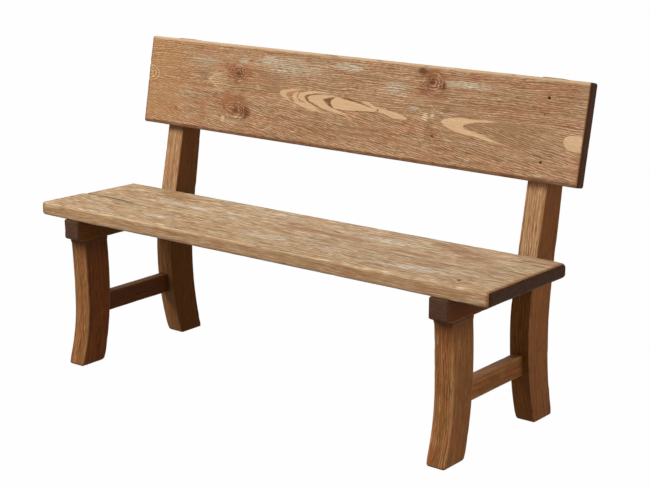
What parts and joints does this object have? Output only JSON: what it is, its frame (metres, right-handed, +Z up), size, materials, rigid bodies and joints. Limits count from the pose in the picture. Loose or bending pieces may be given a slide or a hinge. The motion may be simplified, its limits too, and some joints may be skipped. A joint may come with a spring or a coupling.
{
  "type": "wooden bench",
  "caption": "Long rustic plank bench with a raked single-board backrest, standing on two side frames with curved sabre legs.",
  "frame": {"origin": "on the floor, in the middle of the bench's footprint", "axes": "+X along the bench to the sitter's left (the right as seen from the front), +Y from the front to the rear, +Z up"},
  "size_m": [1.5136, 0.5519, 0.8944],
  "materials": {
    "seat_wood": "weathered, worn smooth",
    "back_wood": "wire-brushed, waxed",
    "leg_wood": "waxed",
    "frame_wood": "waxed",
    "dowel_wood": "plain",
    "screw_steel": "dull, darkened"
  },
  "bodies": {
    "root": {"seat_board_front": "seat_wood", "seat_board_rear": "seat_wood", "seat_dowels": "dowel_wood", "seat_screws": "screw_steel", "back_board": "back_wood", "back_board_screws": "screw_steel", "front_leg_left": "leg_wood", "front_leg_right": "leg_wood", "rear_post_left": "leg_wood", "rear_post_right": "leg_wood", "seat_rail_left": "frame_wood", "seat_rail_right": "frame_wood", "stretcher_left": "frame_wood", "stretcher_right": "frame_wood"}
  },
  "joints": []
}
